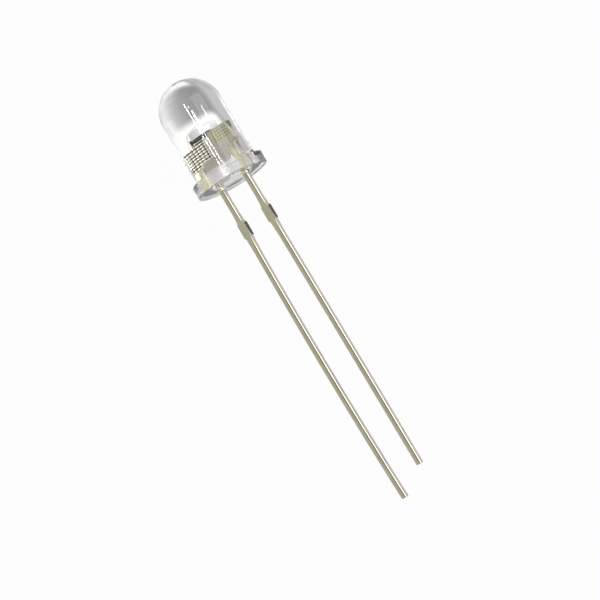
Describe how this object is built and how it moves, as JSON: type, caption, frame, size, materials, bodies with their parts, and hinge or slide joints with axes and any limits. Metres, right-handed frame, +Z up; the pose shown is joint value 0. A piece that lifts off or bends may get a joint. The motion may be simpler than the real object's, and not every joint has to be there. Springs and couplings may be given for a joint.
{
  "type": "light-emitting diode",
  "caption": "Clear round through-hole diode: a domed, flanged resin lens cast round two stamped lead frames, with the chip in a cup and a wire to the post.",
  "frame": {"origin": "middle of the footprint, on the surface that the diode lies on", "axes": "+X along the leads towards their tips, +Y towards the cathode and the flange's flat, +Z up; the diode lies on the flange's rim and both lead tips"},
  "size_m": [0.0356, 0.0056, 0.0061],
  "materials": {
    "clear_resin": "clear cast epoxy resin, polished by its mould",
    "plated_strip": "silver and tin plated steel strip, stamped, with a waffle on the plates",
    "silver_glue": "silver-filled epoxy glue, satin",
    "chip": "sawn semiconductor crystal, glossy top",
    "gold_wire": "drawn gold wire"
  },
  "bodies": {
    "root": {"lens_body": "clear_resin", "anode_leadframe": "plated_strip", "cathode_leadframe": "plated_strip", "die_attach_adhesive": "silver_glue", "led_chip": "chip", "bond_wire": "gold_wire"}
  },
  "joints": []
}
